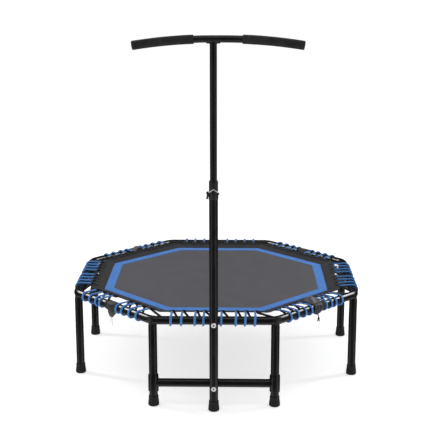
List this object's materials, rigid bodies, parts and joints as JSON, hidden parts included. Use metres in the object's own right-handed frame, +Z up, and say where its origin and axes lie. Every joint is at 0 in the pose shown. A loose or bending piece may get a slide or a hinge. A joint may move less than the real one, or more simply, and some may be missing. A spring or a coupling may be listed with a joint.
{
  "type": "mini trampoline",
  "caption": "Folding octagonal fitness trampoline on screw-on legs, with an elastic-cord mat and a telescoping T handle bolted to the front of the rail.",
  "frame": {"origin": "on the floor, under the middle of the object's outer box", "axes": "+Z up, -Y towards the handle side, +X to the right when facing the handle from outside"},
  "size_m": [1.1588, 1.1966, 1.383],
  "materials": {
    "black_paint": "satin to gloss black powder coat",
    "foot_rubber": "matt black rubber",
    "mat_cloth": "dark grey woven cloth with a blue sewn stripe and a black hem",
    "elastic_cord": "blue woven sheath, black on the return strands",
    "cover_cloth": "black cloth",
    "chrome": "polished",
    "grip_foam": "matt black foam",
    "black_plastic": "satin black plastic",
    "zinc_steel": "zinc plated"
  },
  "bodies": {
    "frame": {"rail_front": "black_paint", "rail_left": "black_paint", "leg_front_left": "black_paint", "leg_front_right": "black_paint", "leg_left_back": "black_paint", "leg_left_front": "black_paint", "foot_front_left": "foot_rubber", "foot_front_right": "foot_rubber", "foot_left_back": "foot_rubber", "foot_left_front": "foot_rubber", "front_crossbar": "black_paint", "mat_front_left": "mat_cloth", "cords_front": "elastic_cord", "cords_left": "elastic_cord", "joint_cover_front_right": "cover_cloth", "joint_cover_back_left": "cover_cloth", "joint_cover_front_left": "cover_cloth", "hinge_fork_front_right": "zinc_steel", "hinge_fork_back_left": "zinc_steel", "hinge_pin_front_right": "zinc_steel", "hinge_pin_back_left": "zinc_steel", "joint_link_front_left": "zinc_steel", "joint_rivet_front_left_a": "zinc_steel", "joint_rivet_front_left_b": "zinc_steel", "outer_post": "black_paint", "foot_post": "foot_rubber", "post_bolt_upper": "chrome", "post_bolt_lower": "chrome", "post_nut_upper": "zinc_steel", "post_nut_lower": "zinc_steel", "post_spacer_upper": "black_plastic", "post_spacer_lower": "black_plastic", "clamp_body": "black_plastic", "clamp_band": "zinc_steel", "post_collar": "black_plastic", "clamp_lever_pin": "zinc_steel"},
    "folding_half": {"rail_right": "black_paint", "rail_back": "black_paint", "leg_right_front": "black_paint", "leg_right_back": "black_paint", "leg_back_right": "black_paint", "leg_back_left": "black_paint", "foot_right_front": "foot_rubber", "foot_right_back": "foot_rubber", "foot_back_right": "foot_rubber", "foot_back_left": "foot_rubber", "mat_back_right": "mat_cloth", "cords_right": "elastic_cord", "cords_back": "elastic_cord", "joint_cover_back_right": "cover_cloth", "hinge_tongue_front_right": "zinc_steel", "hinge_tongue_back_left": "zinc_steel", "joint_link_back_right": "zinc_steel", "joint_rivet_back_right_a": "zinc_steel", "joint_rivet_back_right_b": "zinc_steel"},
    "handle": {"inner_post": "black_paint", "handle_bar": "black_paint", "grip_left": "grip_foam", "grip_right": "grip_foam"},
    "release_lever": {"clamp_lever": "black_plastic"}
  },
  "joints": [
    {"name": "fold", "type": "hinge", "parent": "frame", "child": "folding_half", "pos_m": [0, 0.01886, 0.3638], "axis": [0.7071, -0.7071, 0], "range_deg": [0, 180], "deforming": ["joint_cover_front_right", "joint_cover_back_left"]},
    {"name": "handle_height", "type": "slide", "parent": "frame", "child": "handle", "axis": [0, 0, 1], "range_m": [-0.3, 0]},
    {"name": "clamp_release", "type": "hinge", "parent": "frame", "child": "release_lever", "pos_m": [-0.0216, -0.57647, 0.829], "axis": [0, 1, 0], "range_deg": [0, 110]}
  ]
}
